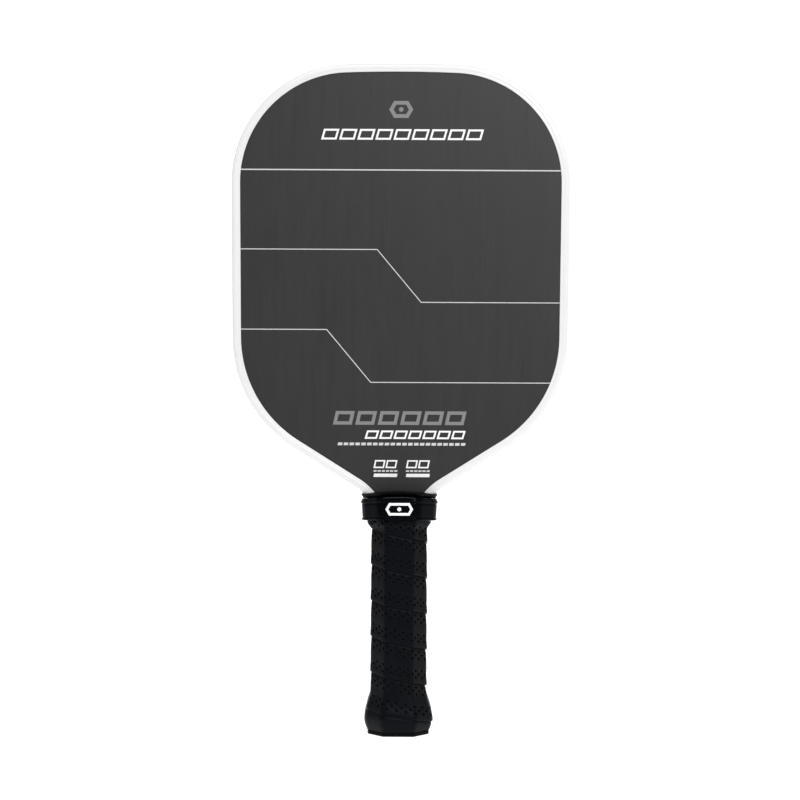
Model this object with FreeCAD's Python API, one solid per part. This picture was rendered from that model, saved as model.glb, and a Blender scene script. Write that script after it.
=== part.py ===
"""Pickleball paddle: a honeycomb sandwich head, an edge guard, and a wrapped eight-sided handle.

Frame: millimetres, +Z up along the paddle from the butt to the head, +X across the head, and -Y
towards the player who looks at the front face. The origin is the centre of the butt cap's end face.
Each piece is written to parts/NODE.step.
"""

import FreeCAD, Part

import math
import os

from FreeCAD import Vector

# ---------------------------------------------------------------- driving dimensions, in mm
LENGTH = 401.3
WIDTH = 203.2

# Head outline: arcs and straights that meet in tangents, described on the guard's outer edge.
CROWN_RADIUS = 900.0
TOP_CORNER_RADIUS = 71.0
LOWER_CORNER_RADIUS = 79.0
LOWER_CORNER_HEIGHT = 237.5
SIDE_TAPER = 1.0  # how far each side leans in by the time it reaches the lower corner
THROAT_SLOPE = math.radians(32.0)  # of the straight stretch above the throat, from level
THROAT_RADIUS = 30.0

# Sandwich panel, from the middle outwards.
CORE_THICKNESS = 12.7  # honeycomb with its two scrims
SCRIM_THICKNESS = 0.2
FACE_THICKNESS = 0.5
CELL_SIZE = 8.0  # across the flats of one honeycomb cell
CELL_WALL = 0.36

# Edge guard, a U-shaped channel.
GUARD_WEB = 1.6
GUARD_TAPE = 0.4
GUARD_FLANGE = 0.9
GUARD_OVERLAP = 5.4  # from the outermost edge to the tip of the flange
GUARD_CORNER = 2.5
GUARD_LIP = 0.45  # radius of the bead along the flange's tip

# Handle.
GRIP_WIDTH = 32.6
GRIP_DEPTH = 31.0
GRIP_LEG = 8.4  # leg of the 45 degree chamfers that make the section eight-sided
GRIP_THICKNESS = 1.7
TANG_HALF_WIDTH = 10.5
CORNER_ROUND = 2.2
CAP_FLOOR = 3.0
TANG_END_GAP = 0.5

# Neck: the grip flares out to a straight land that carries the collar.
NECK_BOTTOM = 122.4
LAND_BOTTOM = 127.1
GRIP_TOP = 134.0
LAND_WIDTH = 38.2
LAND_DEPTH = 33.6
LAND_LEG = 9.2
LAND_ROUND = 5.0

# Shoulder: the crowned rim of the handle shells, above the collar.
SHOULDER_TOP = 145.2
SHOULDER_BOTTOM = 142.7
SHOULDER_CROWN = 120.0  # radius of the arch along its top and bottom, seen from the front
SHOULDER_WIDTH = 48.9  # at the height of the arch's crown; its ends, lower down, are 46 mm apart
SHOULDER_DEPTH = 39.6
SHOULDER_LEG = 11.4
SHOULDER_ROUND = 7.0
SHOULDER_FLARE = 1.3  # growth of the width for each mm of height
SHOULDER_SOFTEN = 0.3
SHOULDER_SPARE = 4.0  # extra length at each end, which the arches trim off

# Rubber collar and the finishing tape under it.
TAPE_THICKNESS = 0.3
TAPE_BOTTOM = 130.3
TAPE_TOP = 138.5
COLLAR_CLEARANCE = 0.25
COLLAR_GAP = 0.2
COLLAR_BOTTOM = 128.4
COLLAR_FOOT_CROWN = 240.0  # radius of its lower edge's gentler arch
COLLAR_TOP_WALL = 3.05
COLLAR_BOTTOM_WALL = 1.9
COLLAR_SPARE = 2.0  # extra length at each end, which the arches trim off
EMBLEM_LENGTH = 16.4
EMBLEM_RISE = 7.4
EMBLEM_BAND = 1.5
EMBLEM_DOT = 2.2  # across the flats of the small hexagon at its middle
EMBLEM_THICKNESS = 0.5
EMBLEM_PROUD = 0.2
EMBLEM_HEIGHT = 135.0

# Butt.
FLANGE_WIDTH = 36.4
FLANGE_DEPTH = 34.6
FLANGE_LEG = 9.0
FLANGE_HEIGHT = 2.0
FLANGE_ROUND = 1.2
FOOT_FILLET = 0.6
FLARE_PEAK = 9.0
FLARE_TOP = 27.0
FLARE_GROWTH = 7.35  # added to the grip's width and depth at the peak
FLARE_FOOT_GROWTH = 4.0
SKIRT_TOP = 22.0
BADGE_RADIUS = 10.0
BADGE_THICKNESS = 0.9
BADGE_RECESS = 0.3
TACK_HEAD_RADIUS = 2.0
TACK_HEAD = 0.5
TACK_SHANK_RADIUS = 0.6
TACK_LENGTH = 4.2
TACK_SINK = 1.0  # depth of the head's top below the skirt's surface
TACK_HEIGHT = 17.0

# ---------------------------------------------------------------- derived sizes
PANEL_HALF = CORE_THICKNESS / 2 + FACE_THICKNESS
PANEL_INSET = GUARD_WEB + GUARD_TAPE
TANG_BOTTOM = CAP_FLOOR + TANG_END_GAP
OUTLINE_TANG = TANG_HALF_WIDTH + PANEL_INSET
FAR = 300.0  # longer than any piece is wide
TOLERANCE = 1e-3
HALF_TURN = math.radians(22.5)  # half of the turn at each corner of an eight-sided section


def head_centres():
    """Centres and directions of the head's outline, right side, as (x, z) vectors."""
    crown = Vector(0, 0, LENGTH - CROWN_RADIUS)
    top_x = WIDTH / 2 - TOP_CORNER_RADIUS
    top = Vector(top_x, 0, crown.z + math.sqrt((CROWN_RADIUS - TOP_CORNER_RADIUS) ** 2 - top_x**2))
    low = Vector(WIDTH / 2 - SIDE_TAPER - LOWER_CORNER_RADIUS, 0, LOWER_CORNER_HEIGHT)
    between = top - low
    lean = math.atan2(between.z, between.x) - math.acos(
        (LOWER_CORNER_RADIUS - TOP_CORNER_RADIUS) / between.Length
    )
    side = Vector(math.cos(lean), 0, math.sin(lean))
    slope = Vector(math.sin(THROAT_SLOPE), 0, -math.cos(THROAT_SLOPE))
    throat_x = OUTLINE_TANG + THROAT_RADIUS
    reach = slope.dot(low) + LOWER_CORNER_RADIUS + THROAT_RADIUS
    throat = Vector(throat_x, 0, (slope.x * throat_x - reach) / math.cos(THROAT_SLOPE))
    return crown, top, low, throat, side, slope


def bisector(first, second):
    """Unit vector halfway between two directions."""
    return (first.normalize() + second.normalize()).normalize()


def arc_between(centre, radius, start, end):
    """Arc about centre from direction start to direction end, the short way."""
    middle = bisector(Vector(start), Vector(end))
    return Part.Arc(centre + start * radius, centre + middle * radius, centre + end * radius).toShape()


def half_outline(inset):
    """Edges from the top of the head to the foot of the throat arc, right side, moved inwards."""
    crown, top, low, throat, side, slope = head_centres()
    to_corner = (top - crown).normalize()
    up, left = Vector(0, 0, 1), Vector(-1, 0, 0)
    top_radius = TOP_CORNER_RADIUS - inset
    low_radius = LOWER_CORNER_RADIUS - inset
    throat_radius = THROAT_RADIUS + inset
    return [
        arc_between(crown, CROWN_RADIUS - inset, up, to_corner),
        arc_between(top, top_radius, to_corner, side),
        Part.makeLine(top + side * top_radius, low + side * low_radius),
        arc_between(low, low_radius, side, slope),
        Part.makeLine(low + slope * low_radius, throat - slope * throat_radius),
        arc_between(throat, throat_radius, slope * -1, left),
    ]


def mirror_x(shape):
    return shape.mirror(Vector(0, 0, 0), Vector(1, 0, 0))


def open_outline(inset):
    """The outline from the left throat over the head to the right throat, as one wire."""
    right = half_outline(inset)
    left = [mirror_x(edge) for edge in right]
    return Part.Wire(Part.__sortEdges__(left + right))


def closed_outline(inset, bottom=TANG_BOTTOM):
    """The head's outline closed by the tang that runs down inside the handle."""
    right = half_outline(inset)
    x = OUTLINE_TANG - inset
    foot = right[-1].valueAt(right[-1].LastParameter)
    right.append(Part.makeLine(Vector(x, 0, foot.z), Vector(x, 0, bottom)))
    left = [mirror_x(edge) for edge in right]
    base = Part.makeLine(Vector(x, 0, bottom), Vector(-x, 0, bottom))
    return Part.Wire(Part.__sortEdges__(right + left + [base]))


def slab(wire, low, high):
    """A flat wire in the XZ plane made into a plate from y=low to y=high."""
    plate = Part.Face(wire).extrude(Vector(0, high - low, 0))
    plate.translate(Vector(0, low, 0))
    return plate


# ---------------------------------------------------------------- the sandwich panel
def hexagon(x, z, across_flats):
    """Closed six-sided wire in the XZ plane, with two sides upright."""
    radius = across_flats / math.sqrt(3)
    corners = [
        Vector(x + radius * math.cos(a), 0, z + radius * math.sin(a))
        for a in (math.radians(30 + 60 * k) for k in range(6))
    ]
    return Part.makePolygon(corners + corners[:1])


def cell_centres():
    """Centres of a honeycomb that covers the panel, row by row."""
    row_step = CELL_SIZE * math.sqrt(3) / 2
    rows = int(LENGTH / row_step) + 1
    columns = int(WIDTH / 2 / CELL_SIZE) + 1
    for row in range(rows):
        shift = CELL_SIZE / 2 if row % 2 else 0.0
        for column in range(-columns, columns + 1):
            yield column * CELL_SIZE + shift, row * row_step


def honeycomb_core():
    """Thin-walled cells. Whole ones are holes in the plate, and the outline cuts through the rest."""
    outline = Part.Face(closed_outline(PANEL_INSET))
    rim = outline.OuterWire
    reach = CELL_SIZE / math.sqrt(3)
    whole, cut = [], []
    for x, z in cell_centres():
        centre = Vector(x, 0, z)
        inside = outline.isInside(centre, TOLERANCE, True)
        distance = rim.distToShape(Part.Vertex(centre))[0]
        cell = hexagon(x, z, CELL_SIZE - CELL_WALL)
        if inside and distance > reach:
            whole.append(cell)
        elif distance <= reach:
            cut.append(Part.Face(cell))
    web = Part.Face([rim] + whole, "Part::FaceMakerBullseye")
    web = web.cut(Part.Compound(cut))
    largest = max(web.Faces, key=lambda face: face.Area)
    half = CORE_THICKNESS / 2 - SCRIM_THICKNESS
    core = largest.extrude(Vector(0, 2 * half, 0))
    core.translate(Vector(0, -half, 0))
    return core


def panel_layers():
    """Scrims and carbon face sheets, front and back."""
    wire = closed_outline(PANEL_INSET)
    scrim_out = CORE_THICKNESS / 2
    scrim_in = scrim_out - SCRIM_THICKNESS
    return {
        "core_scrim_front": slab(wire, -scrim_out, -scrim_in),
        "core_scrim_back": slab(wire, scrim_in, scrim_out),
        "face_sheet_front": slab(wire, -PANEL_HALF, -scrim_out),
        "face_sheet_back": slab(wire, scrim_out, PANEL_HALF),
    }


# ---------------------------------------------------------------- the edge guard
def guard_section(centre, outward):
    """U-shaped section. Depths run inwards from the outermost edge, and heights along Y."""

    def at(depth, height):
        return centre - outward * depth + Vector(0, height, 0)

    def arc(first, middle, last):
        return Part.Arc(at(*first), at(*middle), at(*last)).toShape()

    top = PANEL_HALF + GUARD_FLANGE
    bend = GUARD_CORNER * (1 - math.sqrt(0.5))
    lip_centre = GUARD_OVERLAP - GUARD_LIP
    edges = []
    for sign in (1, -1):
        channel = sign * PANEL_HALF
        crest = sign * top
        corner = sign * (top - GUARD_CORNER)
        bead = sign * (PANEL_HALF + GUARD_FLANGE - GUARD_LIP)
        edges += [
            arc((0, corner), (bend, sign * (top - bend)), (GUARD_CORNER, crest)),
            Part.makeLine(at(GUARD_CORNER, crest), at(lip_centre, crest)),
            arc((lip_centre, crest), (GUARD_OVERLAP, bead), (lip_centre, channel)),
            Part.makeLine(at(lip_centre, channel), at(GUARD_WEB, channel)),
        ]
    edges.append(Part.makeLine(at(GUARD_WEB, PANEL_HALF), at(GUARD_WEB, -PANEL_HALF)))
    edges.append(Part.makeLine(at(0, top - GUARD_CORNER), at(0, GUARD_CORNER - top)))
    return Part.Wire(Part.__sortEdges__(edges))


def edge_guard(handle):
    """The channel swept round the head, ending on the handle's shoulder."""
    throat = head_centres()[3]
    start = throat + Vector(-THROAT_RADIUS, 0, 0)
    sweep = Part.BRepOffsetAPI.MakePipeShell(open_outline(0))
    sweep.setBiNormalMode(Vector(0, 1, 0))
    sweep.add(guard_section(start, Vector(1, 0, 0)))
    sweep.build()
    sweep.makeSolid()
    return above_handle(sweep.shape(), handle)


def edge_guard_tape(handle):
    """Adhesive strip between the guard's web and the panel's cut edge."""
    outer = slab(closed_outline(GUARD_WEB), -PANEL_HALF + FACE_THICKNESS, PANEL_HALF - FACE_THICKNESS)
    inner = slab(closed_outline(PANEL_INSET), -PANEL_HALF, PANEL_HALF)
    return above_handle(outer.cut(inner), handle)


def above_handle(shape, handle):
    """The part of a shape that lies outside the handle and above its shoulder."""
    left = shape.cut(handle)
    return max(left.Solids, key=lambda solid: solid.Volume)


# ---------------------------------------------------------------- eight-sided sections
def section(width, depth, leg, rounding, z, grow=0.0):
    """Eight-sided wire at height z with rounded corners. grow moves every side outwards."""
    half_w, half_d = width / 2 + grow, depth / 2 + grow
    leg = leg + grow * (2 - math.sqrt(2))
    rounding = rounding + grow
    quarter = [Vector(half_w, half_d - leg, z), Vector(half_w - leg, half_d, z)]
    corners = (
        quarter
        + [Vector(-p.x, p.y, z) for p in reversed(quarter)]
        + [Vector(-p.x, -p.y, z) for p in quarter]
        + [Vector(p.x, -p.y, z) for p in reversed(quarter)]
    )
    setback = rounding * math.tan(HALF_TURN)
    edges, count = [], len(corners)
    ends = []
    for k, corner in enumerate(corners):
        back = (corners[k - 1] - corner).normalize()
        ahead = (corners[(k + 1) % count] - corner).normalize()
        inward = bisector(Vector(back), Vector(ahead))
        dip = rounding / math.cos(HALF_TURN) - rounding
        ends.append((corner + back * setback, corner + inward * dip, corner + ahead * setback))
    for k, (first, middle, last) in enumerate(ends):
        edges.append(Part.Arc(first, middle, last).toShape())
        edges.append(Part.makeLine(last, ends[(k + 1) % count][0]))
    return Part.Wire(edges)


def loft(wires):
    return Part.makeLoft(wires, True, True)


def prism(width, depth, leg, rounding, low, high, grow=0.0):
    """Straight eight-sided bar between two heights."""
    face = Part.Face(section(width, depth, leg, rounding, low, grow))
    return face.extrude(Vector(0, 0, high - low))


def arch(top, radius=SHOULDER_CROWN):
    """Everything below an arched surface that is highest at x=0."""
    return Part.makeCylinder(radius, FAR, Vector(0, -FAR / 2, top - radius), Vector(0, 1, 0))


def flare_growth(z):
    """How much wider the grip is at height z than along its straight stretch, at the butt."""
    if z >= FLARE_TOP:
        return 0.0
    if z >= FLARE_PEAK:
        return FLARE_GROWTH * (1 + math.cos(math.pi * (z - FLARE_PEAK) / (FLARE_TOP - FLARE_PEAK))) / 2
    rise = (z - FLANGE_HEIGHT) / (FLARE_PEAK - FLANGE_HEIGHT)
    return FLARE_FOOT_GROWTH + (FLARE_GROWTH - FLARE_FOOT_GROWTH) * math.sin(rise * math.pi / 2)


def butt_sections(top, steps, inset):
    """Grip sections from the flange up to a height, moved in from the grip's outside."""
    wires = []
    for k in range(steps + 1):
        z = FLANGE_HEIGHT + (top - FLANGE_HEIGHT) * k / steps
        wires.append(section(GRIP_WIDTH, GRIP_DEPTH, GRIP_LEG, CORNER_ROUND, z, flare_growth(z) / 2 - inset))
    return wires


# ---------------------------------------------------------------- the handle
def bare_handle():
    """The outside of the two glued shells, before the panel is let into them."""
    stem = prism(
        GRIP_WIDTH, GRIP_DEPTH, GRIP_LEG, CORNER_ROUND, CAP_FLOOR, NECK_BOTTOM, -GRIP_THICKNESS
    )
    neck = loft(
        [
            section(GRIP_WIDTH, GRIP_DEPTH, GRIP_LEG, CORNER_ROUND, NECK_BOTTOM, -GRIP_THICKNESS),
            section(LAND_WIDTH, LAND_DEPTH, LAND_LEG, LAND_ROUND, GRIP_TOP, -GRIP_THICKNESS),
        ]
    )
    land = prism(LAND_WIDTH, LAND_DEPTH, LAND_LEG, LAND_ROUND, GRIP_TOP, SHOULDER_TOP)
    return stem.fuse([neck, land.common(arch(SHOULDER_TOP)), shoulder()]).removeSplitter()


def shoulder():
    """The flared rim above the collar, between two arched surfaces."""
    low, high = SHOULDER_BOTTOM - SHOULDER_SPARE, SHOULDER_TOP + SHOULDER_SPARE
    wires = [
        section(
            SHOULDER_WIDTH,
            SHOULDER_DEPTH,
            SHOULDER_LEG,
            SHOULDER_ROUND,
            z,
            SHOULDER_FLARE * (z - SHOULDER_TOP) / 2,
        )
        for z in (low, high)
    ]
    rim = loft(wires).common(arch(SHOULDER_TOP)).cut(arch(SHOULDER_BOTTOM))
    upper = [e for e in rim.Edges if on_arch(e, SHOULDER_TOP)]
    return rim.makeFillet(SHOULDER_SOFTEN, upper)


def on_arch(edge, top):
    """True for an edge that lies on the arched surface with this top."""
    centre = Vector(0, 0, top - SHOULDER_CROWN)
    middle = (edge.FirstParameter + edge.LastParameter) / 2
    points = [edge.valueAt(p) for p in (edge.FirstParameter, middle, edge.LastParameter)]
    return all(abs(Vector(p.x, 0, p.z).distanceToPoint(centre) - SHOULDER_CROWN) < TOLERANCE for p in points)


def handle_shells(handle):
    """Front and back moulded halves, hollowed for the panel's tang."""
    hollow = handle.cut(slab(closed_outline(PANEL_INSET), -PANEL_HALF, PANEL_HALF))
    corner = Vector(-TANG_HALF_WIDTH, -PANEL_HALF, CAP_FLOOR)
    hollow = hollow.cut(Part.makeBox(2 * TANG_HALF_WIDTH, 2 * PANEL_HALF, TANG_END_GAP, corner))
    front = Part.makeBox(FAR, FAR, FAR, Vector(-FAR / 2, -FAR, 0))
    return {
        "handle_shell_front": hollow.common(front),
        "handle_shell_back": hollow.cut(front),
    }


# ---------------------------------------------------------------- the butt cap
def badge():
    """Plain round medallion let into the butt cap's end face."""
    return Part.makeCylinder(BADGE_RADIUS, BADGE_THICKNESS, Vector(0, 0, BADGE_RECESS))


def tack_top():
    """Distance from the middle of the handle to the outside of a tack's head."""
    return (GRIP_WIDTH + flare_growth(TACK_HEIGHT)) / 2 - GRIP_THICKNESS - TACK_SINK


def tacks():
    """Two flat-headed tacks that hold the cap to the shells, one on each narrow side."""
    seat = tack_top() - TACK_HEAD
    outward = Vector(1, 0, 0)
    head = Part.makeCylinder(TACK_HEAD_RADIUS, TACK_HEAD, Vector(seat, 0, TACK_HEIGHT), outward)
    point = Vector(seat - TACK_LENGTH, 0, TACK_HEIGHT)
    shank = Part.makeCylinder(TACK_SHANK_RADIUS, TACK_LENGTH, point, outward)
    right = head.fuse(shank).removeSplitter()
    return Part.Compound([right, mirror_x(right)])


def butt_cap(handle, tack_set):
    """Moulded cup with an eight-sided flange and a flared skirt under the grip."""
    flange = prism(FLANGE_WIDTH, FLANGE_DEPTH, FLANGE_LEG, FLANGE_ROUND, 0, FLANGE_HEIGHT)
    skirt_steps = 8
    foot = [edge for edge in flange.Edges if abs(edge.BoundBox.ZMax) < TOLERANCE]
    flange = flange.makeFillet(FOOT_FILLET, foot)
    cap = flange.fuse(loft(butt_sections(SKIRT_TOP, skirt_steps, GRIP_THICKNESS))).removeSplitter()
    well = Part.makeCylinder(BADGE_RADIUS, BADGE_RECESS + BADGE_THICKNESS)
    return cap.cut([handle, well] + head_wells() + tack_set.Solids)


def head_wells():
    """Round openings through which each tack's head is driven into the skirt."""
    mouth = Vector(tack_top(), 0, TACK_HEIGHT)
    right = Part.makeCylinder(TACK_HEAD_RADIUS, FLANGE_WIDTH, mouth, Vector(1, 0, 0))
    return [right, mirror_x(right)]


# ---------------------------------------------------------------- grip, tape and collar
def grip_wrap(handle, cap, tack_set):
    """The wound cushion grip as one sleeve, from the flange to the land under the collar."""
    flare_steps = 16
    outside = butt_sections(FLARE_TOP, flare_steps, 0)
    outside.append(section(GRIP_WIDTH, GRIP_DEPTH, GRIP_LEG, CORNER_ROUND, NECK_BOTTOM))
    outside.append(section(LAND_WIDTH, LAND_DEPTH, LAND_LEG, LAND_ROUND, LAND_BOTTOM))
    outside.append(section(LAND_WIDTH, LAND_DEPTH, LAND_LEG, LAND_ROUND, GRIP_TOP))
    sleeve = loft(outside).cut([handle, cap] + tack_set.Solids)
    return max(sleeve.Solids, key=lambda solid: solid.Volume)


def finishing_tape():
    """Thin band that holds the end of the grip, hidden by the collar."""
    outer = prism(
        LAND_WIDTH, LAND_DEPTH, LAND_LEG, LAND_ROUND, TAPE_BOTTOM, TAPE_TOP, TAPE_THICKNESS
    )
    return outer.cut(prism(LAND_WIDTH, LAND_DEPTH, LAND_LEG, LAND_ROUND, TAPE_BOTTOM, TAPE_TOP))


def collar_inside():
    return TAPE_THICKNESS + COLLAR_CLEARANCE


def collar_growth(z):
    """How far the collar's outside stands off the land at height z."""
    share = (z - COLLAR_BOTTOM) / (SHOULDER_BOTTOM - COLLAR_BOTTOM)
    wall = COLLAR_BOTTOM_WALL + (COLLAR_TOP_WALL - COLLAR_BOTTOM_WALL) * share
    return collar_inside() + wall


def rubber_collar(mark):
    """Elastic ring over the end of the grip, arched like the shoulder above it."""
    low, high = COLLAR_BOTTOM - COLLAR_SPARE, SHOULDER_BOTTOM + COLLAR_SPARE
    outside = loft(
        [
            section(LAND_WIDTH, LAND_DEPTH, LAND_LEG, LAND_ROUND, z, collar_growth(z))
            for z in (low, high)
        ]
    )
    bore = prism(LAND_WIDTH, LAND_DEPTH, LAND_LEG, LAND_ROUND, low, high, collar_inside())
    ring = outside.cut(bore).common(arch(SHOULDER_BOTTOM - COLLAR_GAP))
    return ring.cut([arch(COLLAR_BOTTOM, COLLAR_FOOT_CROWN)] + mark.Solids)


def long_hexagon(z, length, rise):
    """Six-sided wire in the XZ plane, drawn out along X, with 60 degree points at its ends."""
    half_length, half_rise = length / 2, rise / 2
    shoulder_x = half_length - half_rise / math.sqrt(3)
    corners = [
        Vector(half_length, 0, z),
        Vector(shoulder_x, 0, z + half_rise),
        Vector(-shoulder_x, 0, z + half_rise),
        Vector(-half_length, 0, z),
        Vector(-shoulder_x, 0, z - half_rise),
        Vector(shoulder_x, 0, z - half_rise),
    ]
    return Part.makePolygon(corners + corners[:1])


def collar_emblem():
    """Plain mark let into the front of the collar: a long hexagonal band with a dot inside it."""
    low = -(LAND_DEPTH / 2 + collar_growth(EMBLEM_HEIGHT)) - EMBLEM_PROUD
    high = low + EMBLEM_THICKNESS
    inner_length = EMBLEM_LENGTH - 4 * EMBLEM_BAND / math.sqrt(3)
    inner_rise = EMBLEM_RISE - 2 * EMBLEM_BAND
    band = slab(long_hexagon(EMBLEM_HEIGHT, EMBLEM_LENGTH, EMBLEM_RISE), low, high)
    band = band.cut(slab(long_hexagon(EMBLEM_HEIGHT, inner_length, inner_rise), low, high))
    dot = slab(hexagon(0, EMBLEM_HEIGHT, EMBLEM_DOT), low, high)
    return Part.Compound([band, dot])


def build():
    """Every piece by its node's name."""
    handle = bare_handle()
    tack_set = tacks()
    cap = butt_cap(handle, tack_set)
    shells = {name: shell.cut(tack_set.Solids) for name, shell in handle_shells(handle).items()}
    mark = collar_emblem()
    pieces = {
        "honeycomb_core": honeycomb_core(),
        "edge_guard": edge_guard(handle),
        "edge_guard_tape": edge_guard_tape(handle),
        "butt_cap": cap,
        "butt_cap_tacks": tack_set,
        "butt_badge": badge(),
        "grip_wrap": grip_wrap(handle, cap, tack_set),
        "grip_finishing_tape": finishing_tape(),
        "rubber_collar": rubber_collar(mark),
        "collar_emblem": mark,
    }
    pieces.update(panel_layers())
    pieces.update(shells)
    return pieces


def main():
    os.makedirs("parts", exist_ok=True)
    for name, shape in sorted(build().items()):
        solids = shape.Solids
        sound = all(solid.isValid() for solid in solids)
        print(f"{name}: {len(solids)} solid(s), {shape.Volume / 1000:.2f} cm3, valid {sound}")
        whole = solids[0] if len(solids) == 1 else Part.Compound(solids)
        whole.exportStep(f"parts/{name}.step")


main()
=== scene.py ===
import math

import bmesh
import bpy
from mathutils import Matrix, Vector


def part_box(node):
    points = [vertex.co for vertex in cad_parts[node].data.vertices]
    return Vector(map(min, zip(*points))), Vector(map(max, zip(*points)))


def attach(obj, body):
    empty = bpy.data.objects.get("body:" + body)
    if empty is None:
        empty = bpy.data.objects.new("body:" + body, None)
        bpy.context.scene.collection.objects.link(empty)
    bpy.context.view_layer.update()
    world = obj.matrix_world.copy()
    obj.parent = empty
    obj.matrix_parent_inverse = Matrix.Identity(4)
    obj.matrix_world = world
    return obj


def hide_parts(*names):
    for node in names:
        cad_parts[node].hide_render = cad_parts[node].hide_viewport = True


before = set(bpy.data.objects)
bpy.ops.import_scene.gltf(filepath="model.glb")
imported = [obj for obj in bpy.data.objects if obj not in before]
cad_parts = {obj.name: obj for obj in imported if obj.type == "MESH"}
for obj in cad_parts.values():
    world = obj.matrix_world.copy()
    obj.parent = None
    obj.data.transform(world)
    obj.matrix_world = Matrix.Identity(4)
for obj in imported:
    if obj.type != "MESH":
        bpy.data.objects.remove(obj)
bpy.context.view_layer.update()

MM = 0.001

# ---- sizes the pieces share with the CAD
LENGTH = 401.3 * MM
WIDTH = 203.2 * MM
CROWN_RADIUS = 900.0 * MM
TOP_CORNER_RADIUS = 71.0 * MM
LOWER_CORNER_RADIUS = 79.0 * MM
LOWER_CORNER_HEIGHT = 237.5 * MM
SIDE_TAPER = 1.0 * MM
THROAT_SLOPE = math.radians(32.0)
THROAT_RADIUS = 30.0 * MM
OUTLINE_TANG = 12.5 * MM

PANEL_HALF = 6.85 * MM
GUARD_WEB = 1.6 * MM
GUARD_FLANGE = 0.9 * MM
GUARD_OVERLAP = 5.4 * MM
GUARD_CORNER = 2.5 * MM
GUARD_LIP = 0.45 * MM

GRIP_WIDTH = 32.6 * MM
GRIP_DEPTH = 31.0 * MM
GRIP_LEG = 8.4 * MM
CORNER_ROUND = 2.2 * MM
GRIP_THICKNESS = 1.7 * MM
GRIP_TOP = 134.0 * MM
NECK_BOTTOM = 122.4 * MM
LAND_BOTTOM = 127.1 * MM
LAND_WIDTH = 38.2 * MM
LAND_DEPTH = 33.6 * MM
LAND_LEG = 9.2 * MM
LAND_ROUND = 5.0 * MM
FLARE_PEAK = 9.0 * MM
FLARE_TOP = 27.0 * MM
FLARE_GROWTH = 7.35 * MM
FLARE_FOOT_GROWTH = 4.0 * MM
FLANGE_HEIGHT = 2.0 * MM

SHOULDER_TOP = 145.2 * MM
SHOULDER_CROWN = 120.0 * MM
COLLAR_TOP = 142.5 * MM
COLLAR_BOTTOM = 128.4 * MM
COLLAR_FOOT_CROWN = 240.0 * MM
COLLAR_BORE = 0.55 * MM

# ---- the guard's and the collar's finer shapes
ROUND_STEPS = 8  # round the guard's edges and the collar's foot bead, and up its band
BEAD_STEPS = 6  # round the beads at the collar's top
# depth inwards and height off the middle, of the seam round the guard's web
GUARD_SEAM = ((0.12 * MM, 0.0), (0.02 * MM, 0.18 * MM), (0.0, 0.5 * MM))
GUARD_GROOVE = (  # depth inwards and drop below the flange, of the groove beside the lip's bead
    (3.55 * MM, 0.0),
    (3.68 * MM, 0.05 * MM),
    (3.8 * MM, 0.16 * MM),
    (4.0 * MM, 0.17 * MM),
    (4.3 * MM, 0.10 * MM),
)
COLLAR_WALL_FOOT = 2.35 * MM
COLLAR_WALL_TOP = 3.15 * MM
COLLAR_EDGE = 0.25 * MM  # chamfer at both ends of the bore
COLLAR_EDGE_SHARE = 0.015  # its height, as a share of the collar's
FOOT_LIP = ((0.0, -0.75 * MM), (0.12 * MM, -0.25 * MM))  # height above the foot, and off the wall
FOOT_BEAD_MIDDLE = 1.0 * MM
FOOT_BEAD_REACH = 0.75 * MM
FOOT_BEAD_PROUD = 0.45 * MM
FOOT_GROOVE = ((1.95 * MM, -0.14 * MM), (2.25 * MM, -0.10 * MM), (2.5 * MM, 0.0))
TOP_GROOVE = (  # drop below the top, and off the wall
    (3.75 * MM, -0.08 * MM),
    (3.45 * MM, -0.20 * MM),
    (3.15 * MM, -0.12 * MM),
    (2.95 * MM, 0.05 * MM),
)
BAND_DROP = 4.0 * MM  # how far below the top the plain band ends
TOP_BEAD_DROP = 2.2 * MM
TOP_BEAD_SET_IN = 0.22 * MM
TOP_BEAD_RADIUS = 0.7 * MM
RIM_SET_IN = 0.75 * MM
RIM_RADIUS = 0.5 * MM

# ---- the wound grip strip
GRIP_FOOT = 2.1 * MM  # just above the cap's flange
PITCH = 21.4 * MM
OVERLAP = 4.0 * MM
START_SHARE = 0.2  # where the strip begins, as a share of a turn from +X
CLIMB_BLEND = 0.15  # share of a turn, each side of the first turn's end, where the climb begins
WOUND_BLEND = 0.25  # share of a turn in which the ridge grows to its full height
END_TRIM = 0.03  # share of a turn cut off the strip's end
RIDGE = 0.70 * MM  # how far a turn's lower edge stands proud of the turn below
RIDGE_RUN = 7.0 * MM
LIP_RUN = 0.55 * MM  # height of the rounded lower edge
FIRST_LIP_ROUND = 0.8 * MM  # how far the lower edge rounds in on the first turn
LIP_ROUND = 0.32 * MM  # and on the others
CALM_BOTTOM = 124.5 * MM  # above this the wrap lies smooth under the collar
CALM_RUN = 3.5 * MM
CROWN_RISE = 0.48 * MM
TUCK = 0.42 * MM
TUCK_RUN = 2.2 * MM
SKIVED_EDGE = 0.2 * MM  # thickness left at the strip's upper edge, under the next turn
TURN_GAP = 0.03 * MM  # space kept between a turn and the one it lies on
EDGE_LEVELS = (0.0, 0.12 * MM, 0.3 * MM, LIP_RUN, 1.2 * MM)  # grid lines along the lower edge
SEAM_LEVELS = (-0.7 * MM, 0.0, 0.5 * MM, OVERLAP / 2, OVERLAP)  # and about the next turn's edge
UNDER_LEVELS = (0.0, OVERLAP / 2, OVERLAP, PITCH / 2, PITCH, PITCH + OVERLAP)  # across the underside
CELL_LENGTH = 2.5 * MM
CELL_HEIGHT = 2.0 * MM
CELL_QUADS = 3  # grid quads along each side of a hole's cell
HOLE_ROWS = 3  # rows of cells in each band of holes
HOLES_FROM = 1.02  # the turn where the holes begin
HOLE_MARGIN = 1.0 * MM  # least height between a cell and the strip's upper edge
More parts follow.
